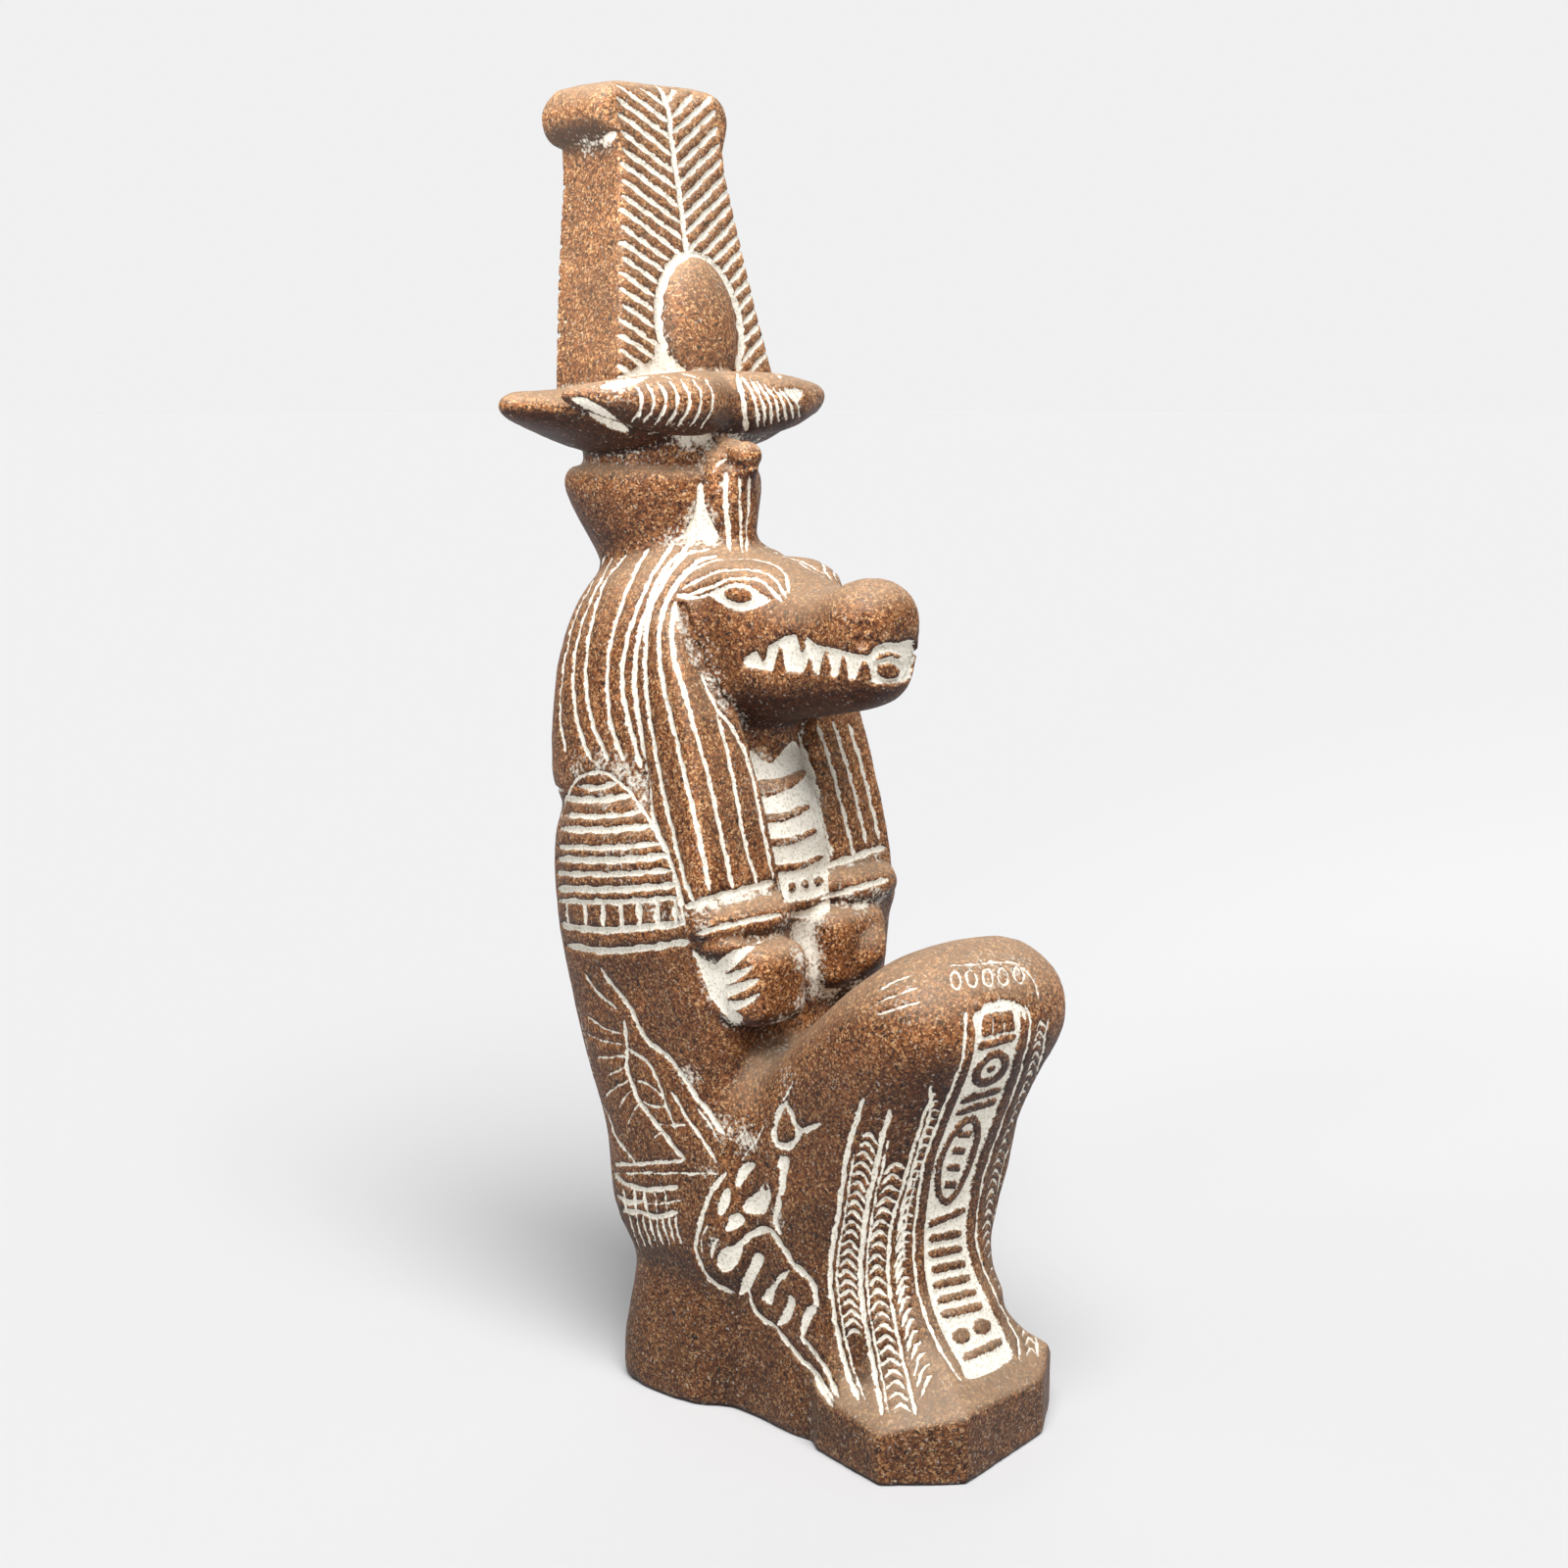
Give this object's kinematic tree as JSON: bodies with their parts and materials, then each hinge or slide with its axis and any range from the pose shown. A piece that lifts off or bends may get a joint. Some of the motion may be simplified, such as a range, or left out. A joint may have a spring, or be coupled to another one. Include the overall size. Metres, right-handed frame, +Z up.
{
  "type": "crocodile-headed figurine",
  "caption": "Squatting crocodile-headed stone figurine with a striped wig and a tall plumed crown, carved in one piece with its low base.",
  "frame": {"origin": "on the underside, in the middle of the footprint from front to back, on the figure's middle plane", "axes": "+Z up, the figure faces -Y and its right side is at -X"},
  "size_m": [0.0809, 0.1103, 0.244],
  "materials": {
    "speckled_stone": "reddish brown speckled stone, satin, with chalk white lines"
  },
  "bodies": {
    "root": {"sobek_figure": "speckled_stone"}
  },
  "joints": []
}
